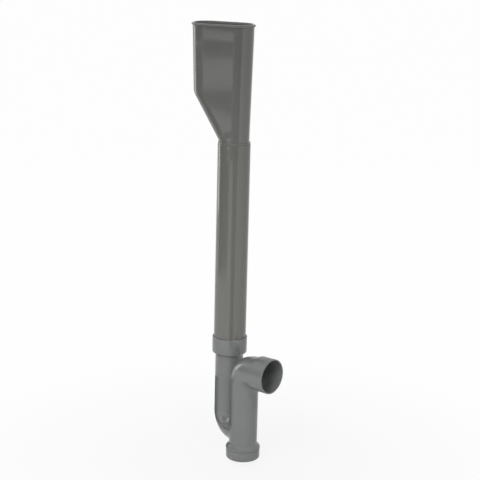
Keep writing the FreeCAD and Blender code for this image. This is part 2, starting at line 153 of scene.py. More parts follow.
class TrapSizes(bpy.types.PropertyGroup):
    """Sizes of the trap's moulding and of the pipe in it."""

    sides: IntProperty(name="Sides", description="Faces round each tube", default=96, min=24)
    bend_steps: IntProperty(name="Bend Steps", description="Rings in each quarter bend", default=32, min=8)
    tube_radius: length("Tube Radius", "Outside radius of the waterway's tube", 17.5)
    tube_wall: length("Tube Wall", "Wall of the waterway's tube", 1.8)
    socket_wall: length("Socket Wall", "Wall of the two solvent sockets", 1.6)
    pipe_radius: length("Pipe Radius", "Outside radius of the standpipe", 20.0)
    pipe_wall: length("Pipe Wall", "Wall of the standpipe", 1.8)
    inlet_flare: length("Inlet Flare", "Height of the cone under the inlet socket", 3.0)
    outlet_flare: length("Outlet Flare", "Length of the cone before the outlet socket", 5.0)
    cleanout_drop: length("Cleanout Drop", "From the lower bend's axis to the collar's foot", 21.5)
    cap_gap: length("Cap Gap", "Dark line between the collar and the cap", 0.4)
    collar_radius: length("Collar Radius", "Outside radius of the cleanout's collar", 21.5)
    collar_band: length("Collar Band", "Height of the collar's straight band", 2.6)
    collar_height: length("Collar Height", "Height of the collar with its shoulder", 6.5)
    collar_round: length("Collar Round", "Rounding of the collar's shoulder", 1.9)
    neck_core: length("Neck Core", "Radius of the threaded neck between its ridges", 18.4)
    neck_lead: length("Neck Lead", "Chamfer at the neck's end", 0.6)
    thread_pitch: length("Thread Pitch", "Rise of the cleanout's thread in one turn", 3.0)
    thread_turns: FloatProperty(name="Thread Turns", description="Turns of the neck's thread", default=1.5)
    thread_half: length("Thread Half Width", "Half the width of a thread ridge at its root", 0.9)
    thread_crest: length("Thread Crest", "Radius of the neck's thread over its ridges", 19.0)
    lip_round: length("Lip Round", "Rounding of the sockets' outer lips", 0.6)
    step_round: length("Step Round", "Rounding where a tube changes its size", 0.9)
    outlet_round: length("Outlet Round", "Rounding of the cone before the outlet socket", 2.3)
    elbow_corner: length("Elbow Corner", "How far the elbow's corner is fuller than a plain bend", 1.8)
    elbow_crown: length("Elbow Crown", "How far the elbow's top has grown at the outlet's cone", 1.2)
    elbow_flank: length("Elbow Flank", "How far the elbow's flanks have grown at the outlet's cone", 4.0)
    skirt_radius: length("Skirt Radius", "Radius of the swelling under the elbow inside the riser", 16.5)
    skirt_drop: length("Skirt Drop", "How far that swelling lies under the outlet's axis", 5.0)
    skirt_inset: length("Skirt Inset", "How far that swelling ends inside the outlet socket", 2.0)
    joint_fillet: length("Joint Fillet", "Width of the fillet where the bend meets the riser", 3.0)


class HopperSizes(bpy.types.PropertyGroup):
    """Sizes of the oval hopper."""

    sides: IntProperty(name="Sides", description="Points round each oval, in fours", default=128, min=32)
    wall: length("Wall", "Wall of the hopper", 1.8)
    spigot_radius: length("Spigot Radius", "Outside radius of the spigot in the pipe", 17.9)
    spigot_wall: length("Spigot Wall", "Wall of the spigot", 2.2)
    spigot_lead: length("Spigot Lead", "Height of the lead-in cone at the spigot's end", 2.0)
    lead_step: length("Lead Step", "Step of the lead-in cone", 0.6)
    ring_radius: length("Ring Radius", "Outside radius of the ring on the pipe's rim", 19.7)
    ring_height: length("Ring Height", "Height of that ring", 2.2)
    foot_radius: length("Foot Radius", "Radius of the oval's ends at its foot", 17.9)
    draft: length("Draft", "Growth of the ends' radius up to the rim", 1.6)
    foot_shift: length("Foot Shift", "Half the flat between the ends at the foot", 0.3)
    lean: length("Lean", "Outward lean of both ends up to the rim", 1.5)
    corner_height: length("Corner Height", "Height of the corner over the pipe's rim", 59.5)
    corner_ease: length("Corner Ease", "Reach of the rounding each way from the corner", 4.0)
    corner_shift: length("Corner Shift", "Shift of the slanted end at the corner", 33.776)
    rim_shift: length("Rim Shift", "Shift of the slanted end at the rim", 35.5)
    turn: angle("Turn", "Turn of the hopper's long side about the pipe", 20.0)
    bead_width: length("Bead Width", "How far the bead stands out of the rim", 1.5)
    bead_height: length("Bead Height", "Height of the bead", 3.0)
    bead_lip: length("Bead Lip", "Rim above the bead", 0.3)
    bead_round: length("Bead Round", "Rounding of the bead's edges", 1.4)
    bead_fillet: length("Bead Fillet", "Fillet under the bead", 0.6)
    edge_round: length("Edge Round", "Rounding of the finest edges, half that of the others", 0.25)


class CleanoutSizes(bpy.types.PropertyGroup):
    """Sizes of the screw cap and of its seal."""

    cap_radius: length("Cap Radius", "Outside radius of the cap", 21.1)
    cap_wall: length("Cap Wall", "Wall of the cap's skirt", 1.7)
    cap_floor: length("Cap Floor", "Thickness of the cap's floor", 2.2)
    cap_round: length("Cap Round", "Rounding of the cap's foot", 2.9)
    recess_depth: length("Recess Depth", "Depth of the recess under the cap", 2.0)
    recess_rim: length("Recess Rim", "Width of the rim round the recess", 4.5)
    grip_width: length("Grip Width", "Width of the grip bar across the recess", 6.0)
    grip_set: length("Grip Set", "How far the bar stays inside the rim", 0.15)
    edge_round: length("Edge Round", "Rounding of the cap's other edges", 0.4)
    seal_bore: length("Seal Bore", "Inside radius of the seal", 15.7)
    seal_round: length("Seal Round", "Rounding of the seal's edges", 0.35)


class TrapFinishes(bpy.types.PropertyGroup):
    """Colours of the plastics and of the rubber."""

    trap: colour("Trap Grey", "Grey of the trap and of its cap", (0.152, 0.160, 0.156))
    hopper: colour("Hopper Grey", "Grey of the hopper", (0.137, 0.140, 0.130))
    drawn: colour("Pipe Grey", "Grey of the extruded pipe", (0.132, 0.132, 0.122))
    rubber: colour("Rubber", "Black of the seal", (0.018, 0.018, 0.019))
    gloss: FloatProperty(
        name="Roughness", description="Mean roughness of the plastic", default=0.075, min=0.0, max=1.0
    )


class TrapStage(bpy.types.PropertyGroup):
    """Camera and light."""

    azimuth: angle("Azimuth", "Turn of the camera round the trap", 39.4)
    distance: length("Distance", "Level distance from the trap to the camera", 1700.0)
    eye: length("Eye Height", "Height of the camera over the outlet's axis", 590.0)
    aim: length("Aim Height", "Height of the point that the camera looks at", 160.0)
    roll: angle("Roll", "Lean of the camera", 1.4)
    focal: FloatProperty(
        name="Focal Length", description="Lens on a 36 mm frame", default=108.0, unit="CAMERA"
    )
    ambient: FloatProperty(name="Ambient", description="Strength of the light from all round", default=0.17)
    key: power("Key", "Large lamp high over the front", 12.0)
    side: power("Side", "Upright lamp on the left, the one that shows in the gloss", 0.8)
    front: power("Front", "Lamp high on the left of the camera", 8.2)
    low: power("Low", "Lamp in front, level with the outlet", 0.68)
    right: power("Right", "Lamp low on the right, a little behind", 1.6)
    mouth: power("Mouth", "Lamp that shines into the outlet", 0.25)
    rear: power("Rear", "Lamp behind the trap", 7.0)
    paper: colour("Paper", "Colour of the floor", (0.65, 0.65, 0.65))


# Selecting and editing

def deselect_all():
    """Leaves edit mode and deselects every object."""
    if bpy.context.object and bpy.context.object.mode != "OBJECT":
        bpy.ops.object.mode_set(mode="OBJECT")
    bpy.ops.object.select_all(action="DESELECT")


def make_active(piece):
    """Selects this piece alone."""
    deselect_all()
    piece.select_set(True)
    bpy.context.view_layer.objects.active = piece


def edit(piece):
    """Opens this piece alone in edit mode."""
    make_active(piece)
    bpy.ops.object.mode_set(mode="EDIT")


def pick(mode, parts, test):
    """Selects the edges or faces of the open piece that pass the test."""
    data = bpy.context.object.data
    bpy.ops.mesh.select_mode(type=mode)
    bpy.ops.mesh.select_all(action="DESELECT")
    found = [part for part in getattr(bmesh.from_edit_mesh(data), parts) if test(part)]
    if not found:
        raise RuntimeError("no %s were found to work on in %s" % (parts, data.name))
    for part in found:
        part.select_set(True)
    bmesh.update_edit_mesh(data)


def pick_edges(test):
    """Selects the edges of the open piece whose two ends pass the test."""
    pick("EDGE", "edges", lambda edge: all(test(v.co) for v in edge.verts))


def pick_points(chosen):
    """Selects the points of the open piece with these indices."""
    data = bpy.context.object.data
    bpy.ops.mesh.select_mode(type="VERT")
    bpy.ops.mesh.select_all(action="DESELECT")
    skin = bmesh.from_edit_mesh(data)
    skin.verts.ensure_lookup_table()
    for index in chosen:
        skin.verts[index].select_set(True)
    skin.select_flush_mode()
    bmesh.update_edit_mesh(data)


def on_ring(centre, heading, radius):
    """A test for points on a circle."""

    def test(point):
        reach = point - centre
        along = reach.dot(heading)
        return abs(along) < NEAR and abs((reach - heading * along).length - radius) < NEAR

    return test


def settle():
    """Puts the active piece's place, turn and scale into its mesh."""
    bpy.ops.object.transform_apply(location=True, rotation=True, scale=True)


def draw_ring(name, sides, radius, place, turned=(0, 0, 0)):
    """Starts a piece from a circle, open in edit mode with all its points selected."""
    deselect_all()
    bpy.ops.mesh.primitive_circle_add(
        vertices=sides, radius=radius, fill_type="NOTHING", location=place, rotation=turned
    )
    piece = bpy.context.object
    piece.name = name
    piece.data.name = name
    settle()
    bpy.ops.object.mode_set(mode="EDIT")
    bpy.ops.mesh.select_mode(type="VERT")
    bpy.ops.mesh.select_all(action="SELECT")
    return piece


def bevel_picked(width, segments):
    """Rounds the picked edges."""
    bpy.ops.mesh.bevel(
        offset=width, offset_type="OFFSET", segments=segments, profile=0.5, affect="EDGES",
        clamp_overlap=True,
    )


def round_ring(centre, heading, radius, width, segments=3):
    """Rounds a circular edge of the open piece."""
    pick_edges(on_ring(centre, heading, radius))
    bevel_picked(width, segments)


def close_skin():
    """Merges the open piece's doubles and turns its faces outwards."""
    bpy.ops.mesh.select_mode(type="VERT")
    bpy.ops.mesh.select_all(action="SELECT")
    bpy.ops.mesh.remove_doubles(threshold=DOUBLES)
    bpy.ops.mesh.select_all(action="SELECT")
    bpy.ops.mesh.normals_make_consistent(inside=False)


class RingRun:
    """A tube drawn in edit mode from a circle, whose last ring is extruded, resized and spun."""

    def __init__(self, name, centre, heading, radius, sides):
        self.piece = draw_ring(name, sides, radius, centre, heading.to_track_quat("Z", "Y").to_euler())
        self.start = on_ring(centre.copy(), heading.copy(), radius)
        self.centre = centre.copy()
        self.heading = heading.copy()
        self.radius = radius

    def go(self, reach, radius=None, steps=1):
        """Extrudes the last ring along its heading, to another radius if one is given."""
        radius = self.radius if radius is None else radius
        grow = (radius - self.radius) / steps
        for _ in range(steps):
            step = self.heading * (reach / steps)
            bpy.ops.mesh.extrude_region_move(TRANSFORM_OT_translate={"value": step})
            self.centre += step
            scale = (self.radius + grow) / self.radius
            if grow:
                bpy.ops.transform.resize(value=(scale, scale, scale), center_override=self.centre)
            self.radius += grow

    def spin(self, axis, pivot, arc, steps=1):
        """Spins the last ring about a pivot, and its centre and heading with it."""
        bpy.ops.mesh.spin(steps=steps, angle=-arc, center=pivot, axis=axis)
        turned = Matrix.Rotation(arc, 3, axis)
        self.centre = pivot + turned @ (self.centre - pivot)
        self.heading = (turned @ self.heading).normalized()
        return turned

    def turn(self, towards, bend_radius, steps):
        """Spins the last ring through a quarter bend towards a direction."""
        self.spin(self.heading.cross(towards), self.centre + towards * bend_radius, QUARTER, steps)

    def swell(self, towards, bend_radius, steps, corner, crown, flank):
        """Spins the last ring like a turn, while its outer half and its flanks grow."""
        axis = self.heading.cross(towards)
        side = self.radius
        outer = self.radius
        for step in range(1, steps + 1):
            way = QUARTER * step / steps
            share = math.sin(way) ** 2
            new_side = self.radius + flank * share
            new_outer = self.radius + crown * share + corner * math.sin(2 * way) ** 2
            turned = self.spin(axis, self.centre + towards * bend_radius, QUARTER / steps)
            towards = turned @ towards
            self.reshape(axis, -towards, new_side / side, new_outer / outer, 1)
            side = new_side
            outer = new_outer

    def reshape(self, across, outward, side, outer, inner):
        """Resizes the last ring by a scale across, one for its outer half and one for its inner half."""
        skin = bmesh.from_edit_mesh(self.piece.data)
        skin.verts.index_update()
        ring = [v.index for v in skin.verts if v.select]
        away = {v.index for v in skin.verts if v.select and (v.co - self.centre).dot(outward) > 0}
        along = Vector(abs(part) for part in across)
        for scale, chosen in ((outer, sorted(away)), (inner, [i for i in ring if i not in away])):
            pick_points(chosen)
            value = [side * part + scale * (1 - part) for part in along]
            bpy.ops.transform.resize(value=value, center_override=self.centre)
        pick_points(ring)

    def cap_ends(self):
        """Fills the last and the first ring and closes the skin."""
        bpy.ops.mesh.edge_face_add()
        pick_edges(self.start)
        bpy.ops.mesh.edge_face_add()
        close_skin()


def put_in_order(piece):
    """Orders a piece's points by their place, and its edges and faces by their points."""
    edit(piece)
    skin = bmesh.from_edit_mesh(piece.data)
    ranks = (
        (skin.verts, lambda point: tuple(point.co)),
        (skin.edges, lambda edge: sorted(v.index for v in edge.verts)),
        (skin.faces, lambda face: sorted(v.index for v in face.verts)),
    )
    for parts, rank in ranks:
        for number, part in enumerate(sorted(parts, key=rank)):
            part.index = number
        parts.sort()
    bmesh.update_edit_mesh(piece.data)
    make_active(piece)


def combine(piece, tool, operation):
    """Applies a Boolean of a tool to a piece, removes the tool and orders the result, as Booleans don't."""
    make_active(piece)
    step = piece.modifiers.new(operation.lower(), "BOOLEAN")
    step.operation = operation
    step.solver = "EXACT"
    step.object = tool
    bpy.ops.object.modifier_apply(modifier=step.name)
    make_active(tool)
    bpy.ops.object.delete()
    put_in_order(piece)
    return piece


def finish_piece(piece, node, body, material):
    """Closes a piece, smooths it and puts it in its node's place."""
    edit(piece)
    close_skin()
    skin = bmesh.from_edit_mesh(piece.data)
    loose = sum(not e.is_manifold for e in skin.edges)
    if loose:
        raise RuntimeError("%s has %d open edges" % (piece.name, loose))
    make_active(piece)
    bpy.ops.object.shade_smooth_by_angle(angle=math.radians(SMOOTH_ANGLE))
    piece.data.materials.clear()
    piece.data.materials.append(material)
    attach(piece, body)
    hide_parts(node)


# Finishes

PVC_IOR = 1.52


def add_node(tree, kind, **values):
    """A new node with values on its sockets."""
    node = tree.nodes.new(kind)
    for name, value in values.items():
        node.inputs[name.replace("_", " ")].default_value = value
    return node


class Finish:
    """A node material on Object coordinates."""

    # The middle range of a noise, which a grain is spread over
    LOW = 0.3
    HIGH = 0.7

    def __init__(self, name):
        self.material = bpy.data.materials.new(name)
        self.material.use_nodes = True
        self.tree = self.material.node_tree
        self.link = self.tree.links.new
        self.shader = self.tree.nodes["Principled BSDF"]
        self.place = add_node(self.tree, "ShaderNodeTexCoord").outputs["Object"]

    def noise(self, grain, detail, stretch=(1, 1, 1)):
        """A noise with its grain given in cycles a metre."""
        mapping = add_node(self.tree, "ShaderNodeMapping", Scale=stretch)
        texture = add_node(self.tree, "ShaderNodeTexNoise", Scale=grain, Detail=detail)
        self.link(self.place, mapping.inputs["Vector"])
        self.link(mapping.outputs["Vector"], texture.inputs["Vector"])
        return texture.outputs[0]

    def spread(self, source, low, high):
        """A grain's middle range spread between two numbers."""
        node = add_node(
            self.tree, "ShaderNodeMapRange", From_Min=self.LOW, From_Max=self.HIGH, To_Min=low, To_Max=high
        )
        self.link(source, node.inputs["Value"])
        return node.outputs["Result"]

    def tint(self, source, tone, dark, light):
        """A grain spread between a darker and a lighter tone."""
        ramp = add_node(self.tree, "ShaderNodeValToRGB")
        darker, lighter = ramp.color_ramp.elements
        darker.position = self.LOW
        lighter.position = self.HIGH
        darker.color = [c * dark for c in tone] + [1]
        lighter.color = [c * light for c in tone] + [1]
        self.link(source, ramp.inputs["Fac"])
        return ramp.outputs["Color"]

    def blend(self, first, second, share):
        """Two tints mixed."""
        node = add_node(self.tree, "ShaderNodeMix")
        node.data_type = "RGBA"
        node.inputs["Factor"].default_value = share
        self.link(first, node.inputs["A"])
        self.link(second, node.inputs["B"])
        return node.outputs["Result"]

    def bump(self, source, height, below=None):
        """A grain raised by a height in metres."""
        node = add_node(self.tree, "ShaderNodeBump", Strength=1.0, Distance=height)
        self.link(source, node.inputs["Height"])
        if below:
            self.link(below, node.inputs["Normal"])
        return node.outputs["Normal"]

    def wire(self, **sockets):
        """Links results to the shader's sockets."""
        for name, source in sockets.items():
            self.link(source, self.shader.inputs[name.replace("_", " ")])
        return self.material


def moulded_grey(name, tone, gloss):
    """Injection moulded grey plastic: an even semi-gloss with faint flow clouds and a soft ripple."""
    if name in bpy.data.materials:
        return bpy.data.materials[name]
    finish = Finish(name)
    finish.shader.inputs["IOR"].default_value = PVC_IOR
    clouds = finish.tint(finish.noise(grain=22, detail=3), tone, dark=0.95, light=1.05)
    specks = finish.tint(finish.noise(grain=1800, detail=2), tone, dark=0.93, light=1.06)
    sheen = finish.spread(finish.noise(grain=70, detail=3), low=gloss - 0.025, high=gloss + 0.045)
    ripple = finish.bump(finish.noise(grain=60, detail=1), height=0.03 * MM)
    skin = finish.bump(finish.noise(grain=1400, detail=2), height=0.004 * MM, below=ripple)
    mixed = finish.blend(clouds, specks, share=0.4)
    return finish.wire(Base_Color=mixed, Roughness=sheen, Normal=skin)


def drawn_grey(finishes):
    """Extruded grey pipe: the same plastic with fine lines drawn along it."""
    finish = Finish("drawn_grey")
    finish.shader.inputs["IOR"].default_value = PVC_IOR
    tone = finishes.drawn
    gloss = finishes.gloss
    lines = finish.noise(grain=420, detail=3, stretch=(1, 1, 0.012))
    clouds = finish.tint(finish.noise(grain=14, detail=2, stretch=(1, 1, 0.4)), tone, dark=0.95, light=1.05)
    streaks = finish.tint(lines, tone, dark=0.93, light=1.06)
    bands = finish.noise(grain=260, detail=2, stretch=(1, 1, 0.02))
    sheen = finish.spread(bands, low=gloss, high=gloss + 0.09)
    ripple = finish.bump(finish.noise(grain=50, detail=1, stretch=(1, 1, 0.25)), height=0.03 * MM)
    drawn = finish.bump(lines, height=0.005 * MM, below=ripple)
    mixed = finish.blend(clouds, streaks, share=0.45)
    return finish.wire(Base_Color=mixed, Roughness=sheen, Normal=drawn)


def trap_grey(finishes):
    """The plastic of the trap and of its cap."""
    return moulded_grey("trap_grey", finishes.trap, finishes.gloss)


def hopper_grey(finishes):
    """The plastic of the hopper."""
    return moulded_grey("hopper_grey", finishes.hopper, finishes.gloss)


def seal_rubber(finishes):
    """Black rubber with a fine matt grain."""
    finish = Finish("seal_rubber")
    tone = finish.tint(finish.noise(grain=300, detail=3), finishes.rubber, dark=0.8, light=1.25)
    matt = finish.spread(finish.noise(grain=500, detail=2), low=0.55, high=0.72)
    grain = finish.bump(finish.noise(grain=2600, detail=2), height=0.01 * MM)
    return finish.wire(Base_Color=tone, Roughness=matt, Normal=grain)


# Trap moulding

def lower_axis(sizes):
    """Height of the lower bend's axis."""
    return CAP_HIGH.z + sizes.cap_gap + sizes.cleanout_drop


def bend_radius(sizes):
    """Radius of the bends' middle lines, from the room between the riser and the outlet."""
    return BODY_HIGH.x - SOCKET_DEPTH - sizes.outlet_flare - RISER_AXIS.x


def draw_leg(name, socket, stop, tube, end, sizes):
    """The inlet socket, leg and lower bend as a solid that ends in the riser."""
    bend = bend_radius(sizes)
    run = RingRun(name, on_leg(BODY_HIGH.z), DOWN, socket, sizes.sides)
    run.go(SOCKET_DEPTH)
    if stop < socket:
        run.go(0, stop)
    run.go(sizes.inlet_flare, tube)
    run.go(run.centre.z - lower_axis(sizes) - bend, steps=LEG_RINGS)
    run.turn(TO_RISER, bend, sizes.bend_steps)
    run.go(LEG_SPACING - bend, end, steps=PASSAGE_RINGS)
    run.cap_ends()
    return run.piece


def draw_riser_outside(sizes):
    """The neck, collar, riser, elbow and outlet socket as a solid."""
    collar_foot = CAP_HIGH.z + sizes.cap_gap
    bend = bend_radius(sizes)
    socket = SOCKET_BORE + sizes.socket_wall
    run = RingRun("moulding", on_riser(BODY_LOW.z), UP, sizes.neck_core - sizes.neck_lead, sizes.sides)
    run.go(sizes.neck_lead, sizes.neck_core)
    run.go(collar_foot - run.centre.z)
    run.go(0, sizes.collar_radius)
    run.go(sizes.collar_band)
    run.go(sizes.collar_height - sizes.collar_band, sizes.tube_radius)
    shoulder = run.centre.z
    run.go(lower_axis(sizes) + bend + sizes.tube_radius / 2 - shoulder, steps=RISER_RINGS)
    run.go(-bend - run.centre.z, steps=RISER_TOP_RINGS)
    run.swell(OUT, bend, sizes.bend_steps, sizes.elbow_corner, sizes.elbow_crown, sizes.elbow_flank)
    cone = run.centre.copy()
    run.go(sizes.outlet_flare)
    flank = socket / (run.radius + sizes.elbow_flank)
    crown = socket / (run.radius + sizes.elbow_crown)
    run.reshape(OUT.cross(UP), UP, flank, crown, socket / run.radius)
    run.radius = socket
    band = run.centre.copy()
    run.go(SOCKET_DEPTH)
    run.cap_ends()
    band_top = on_riser(collar_foot + sizes.collar_band)
    round_ring(band_top, UP, sizes.collar_radius, sizes.collar_round, segments=6)
    round_ring(on_riser(collar_foot), UP, sizes.collar_radius, sizes.lip_round / 2)
    round_ring(on_riser(shoulder), UP, sizes.tube_radius, sizes.step_round)
    pick_edges(lambda point: abs(point.x - cone.x) < NEAR)
    bevel_picked(sizes.outlet_round, segments=6)
    round_ring(band, OUT, socket, sizes.outlet_round, segments=6)
    return run.piece


def draw_riser_inside(sizes):
    """The waterway from the cleanout's mouth to the outlet's."""
    bend = bend_radius(sizes)
    bore = sizes.tube_radius - sizes.tube_wall
    run = RingRun("waterway", on_riser(BODY_LOW.z), UP, bore, sizes.sides)
    run.go(-bend - run.centre.z, steps=BORE_RINGS)
    run.turn(OUT, bend, sizes.bend_steps)
    run.go(sizes.outlet_flare, sizes.pipe_radius - sizes.pipe_wall)
    run.go(0, SOCKET_BORE)
    run.go(SOCKET_DEPTH)
    run.cap_ends()
    return run.piece


def neck_thread(sizes):
    """A ridge of diamond section wound upwards round the neck."""
    turns = sizes.thread_turns
    half = sizes.thread_half
    ridge = draw_ring("neck_thread", sides=4, radius=half, place=(0, 0, 0), turned=(QUARTER, 0, 0))
    bpy.ops.transform.translate(value=(sizes.thread_crest - half, 0, 0))
    bpy.ops.object.mode_set(mode="OBJECT")
    winding = ridge.modifiers.new("winding", "SCREW")
    winding.axis = "Z"
    winding.angle = 2 * math.pi * turns
    winding.screw_offset = sizes.thread_pitch * turns
    winding.steps = int(sizes.sides * turns)
    winding.render_steps = winding.steps
    winding.use_merge_vertices = False
    bpy.ops.object.modifier_apply(modifier=winding.name)
    spare = CAP_HIGH.z + sizes.cap_gap - BODY_LOW.z - sizes.thread_pitch * turns
    ridge.location = on_riser(BODY_LOW.z + spare / 2)
    settle()
    edit(ridge)
    bpy.ops.mesh.select_all(action="SELECT")
    bpy.ops.mesh.fill_holes(sides=0)
    close_skin()
    return ridge


def soften_crease(piece, on_seam, least, reach):
    """Draws the crease where two tubes run into each other out to a fillet."""
    edit(piece)
    skin = bmesh.from_edit_mesh(piece.data)
    sharp = [
        e for e in skin.edges
        if e.calc_face_angle(0) > math.radians(least) and all(on_seam(v.co) for v in e.verts)
    ]
    crease = KDTree(2 * len(sharp))
    for number, point in enumerate(v.co for e in sharp for v in e.verts):
        crease.insert(point, number)
    crease.balance()

    def near_crease():
        found = bmesh.from_edit_mesh(piece.data)
        found.verts.index_update()
        return [v.index for v in found.verts if crease.find(v.co)[2] < reach]

    pick_points(near_crease())
    bpy.ops.mesh.remove_doubles(threshold=CREASE_MERGE)
    pick_points(near_crease())
    bpy.ops.mesh.vertices_smooth(factor=CREASE_PULL, repeat=CREASE_ROUNDS)


def leg_seam(sizes):
    """A test for points of the riser on the skin of the bend that runs into it."""
    bend = bend_radius(sizes)
    straight = LEG_SPACING - bend
    low = lower_axis(sizes)
    side_way = TO_RISER.cross(UP)

    def test(point):
        reach = point - on_riser(low)
        along = -reach.dot(TO_RISER)
        off = reach.z if along <= straight else math.hypot(along - straight, reach.z - bend) - bend
        on_skin = abs(math.hypot(reach.dot(side_way), off) - sizes.tube_radius) < NEAR_BEND
        return on_skin and (point - on_riser(point.z)).length < sizes.collar_radius

    return test


def add_skirt(piece, sizes):
    """Carries the underside of the outlet socket back to the riser, under the elbow."""
    foot = on_riser(-sizes.skirt_drop)
    end = Vector((BODY_HIGH.x - SOCKET_DEPTH, RISER_AXIS.y, -sizes.skirt_drop / 3))
    end_radius = SOCKET_BORE + sizes.socket_wall - sizes.skirt_inset
    heading = (end - foot).normalized()
    reach = (end - foot).length
    run = RingRun("skirt", foot, heading, sizes.skirt_radius, sizes.sides)
    run.go(reach, end_radius, steps=SKIRT_RINGS)
    run.cap_ends()

    def on_skirt(point):
        along = (point - foot).dot(heading)
        radius = sizes.skirt_radius + (end_radius - sizes.skirt_radius) * along / reach
        off = abs((point - foot - heading * along).length - radius)
        return off < NEAR_SKIRT and 0 < along < reach

    combine(piece, run.piece, "UNION")
    soften_crease(piece, on_skirt, SKIRT_CREASE, sizes.joint_fillet)


def open_mouth(centre, heading, outer, inner):
    """Takes the two end faces off a mouth and bridges its rims."""

    def is_end(face):
        flat = abs(face.normal.dot(heading)) > SQUARE
        return flat and all(abs((v.co - centre).dot(heading)) < NEAR for v in face.verts)

    pick("FACE", "faces", is_end)
    bpy.ops.mesh.delete(type="ONLY_FACE")
    outside = on_ring(centre, heading, outer)
    inside = on_ring(centre, heading, inner)
    pick_edges(lambda point: outside(point) or inside(point))
    bpy.ops.mesh.bridge_edge_loops()


def mould_outside(sizes):
    """The riser, skirt, leg and thread as one skin."""
    socket = SOCKET_BORE + sizes.socket_wall
    tube = sizes.tube_radius
    socket_foot = BODY_HIGH.z - SOCKET_DEPTH
    leg = draw_leg("leg", socket, socket, tube, tube - END_STEP, sizes)
    round_ring(on_leg(socket_foot), UP, socket, sizes.step_round)
    round_ring(on_leg(socket_foot - sizes.inlet_flare), UP, tube, sizes.step_round)
    body = draw_riser_outside(sizes)
    add_skirt(body, sizes)
    combine(body, leg, "UNION")
    soften_crease(body, leg_seam(sizes), LEG_CREASE, sizes.joint_fillet)
    return combine(body, neck_thread(sizes), "UNION")


def mould_inside(sizes):
    """The waterway of the riser and of the leg as one skin that faces inwards."""
    bore = sizes.tube_radius - sizes.tube_wall
    stop = sizes.pipe_radius - sizes.pipe_wall
    riser_bore = draw_riser_inside(sizes)
    leg_bore = draw_leg("leg_bore", SOCKET_BORE, stop, bore, bore - END_STEP, sizes)
    water = combine(riser_bore, leg_bore, "UNION")
    edit(water)
    bpy.ops.mesh.select_all(action="SELECT")
    bpy.ops.mesh.flip_normals()
    return water


class TRAP_OT_moulding(bpy.types.Operator):
    """Models the trap's moulding with its sockets, bends, collar and threaded neck"""

    bl_idname = "trap.moulding"
    bl_label = "Trap Moulding"

    def execute(self, context):
        sizes = context.scene.trap_sizes
        socket = SOCKET_BORE + sizes.socket_wall
        body = mould_outside(sizes)
        water = mould_inside(sizes)
        make_active(body)
        water.select_set(True)
        bpy.ops.object.join()
        bpy.ops.object.mode_set(mode="EDIT")
        inlet = on_leg(BODY_HIGH.z)
        outlet = Vector((BODY_HIGH.x, RISER_AXIS.y, 0))
        neck = on_riser(BODY_LOW.z)
        open_mouth(inlet, UP, socket, SOCKET_BORE)
        open_mouth(outlet, OUT, socket, SOCKET_BORE)
        open_mouth(neck, UP, sizes.neck_core - sizes.neck_lead, sizes.tube_radius - sizes.tube_wall)
        for centre, heading in ((inlet, UP), (outlet, OUT)):
            round_ring(centre, heading, socket, sizes.lip_round)
            round_ring(centre, heading, SOCKET_BORE, sizes.lip_round / 2)
        finish_piece(body, "trap_body", "trap", trap_grey(context.scene.trap_finishes))
        return {"FINISHED"}


class TRAP_OT_standpipe(bpy.types.Operator):
    """Models the plain standpipe with its eased ends"""

    bl_idname = "trap.standpipe"
    bl_label = "Standpipe"

    def execute(self, context):
        sizes = context.scene.trap_sizes
        outer = sizes.pipe_radius
        inner = outer - sizes.pipe_wall
        run = RingRun("pipe", on_leg(PIPE_LOW.z), UP, outer, sizes.sides)
        run.go(PIPE_HIGH.z - PIPE_LOW.z, steps=PIPE_RINGS)
        run.go(0, inner)
        run.go(PIPE_LOW.z - PIPE_HIGH.z, steps=PIPE_RINGS)
        run.go(0, outer)
        close_skin()
        for height in (PIPE_LOW.z, PIPE_HIGH.z):
            round_ring(on_leg(height), UP, outer, sizes.step_round)
            round_ring(on_leg(height), UP, inner, sizes.lip_round / 2)
        finish_piece(run.piece, "standpipe", "trap", drawn_grey(context.scene.trap_finishes))
        return {"FINISHED"}


# Hopper

class OvalRun:
    """A hollow form drawn from a ring whose two halves are moved and resized by themselves."""

    def __init__(self, name, height, radius, sides):
        self.piece = draw_ring(name, sides, radius, (0, 0, height), (0, 0, math.pi / sides))
        self.height = height
        self.radius = radius
        self.left = 0.0
        self.right = 0.0

    def section(self, height, radius, left=0.0, right=0.0):
        """Extrudes the last ring to another height, end radius and place of its two ends."""
        bpy.ops.mesh.extrude_region_move(TRANSFORM_OT_translate={"value": (0, 0, height - self.height)})
        skin = bmesh.from_edit_mesh(self.piece.data)
        skin.verts.index_update()
        ring = [v.index for v in skin.verts if v.select]
        middle = (self.right - self.left) / 2
        on_left = {v.index for v in skin.verts if v.select and v.co.x < middle}
        scale = radius / self.radius
        for half, old, new in (
            (sorted(on_left), -self.left, -left),
            ([i for i in ring if i not in on_left], self.right, right),
        ):
            pick_points(half)
            bpy.ops.transform.translate(value=(new - old, 0, 0))
            bpy.ops.transform.resize(value=(scale, scale, 1), center_override=(new, 0, height))
        pick_points(ring)
        self.height = height
        self.radius = radius
        self.left = left
        self.right = right

    def round_section(self, height, radius, left, right, width, segments=3):
        """Rounds the edge of a section drawn before."""

        def test(point):
            nearest = min(max(point.x, -left), right)
            off = math.hypot(point.x - nearest, point.y)
            return abs(point.z - height) < NEAR and abs(off - radius) < NEAR

        pick_edges(test)
        bevel_picked(width, segments)


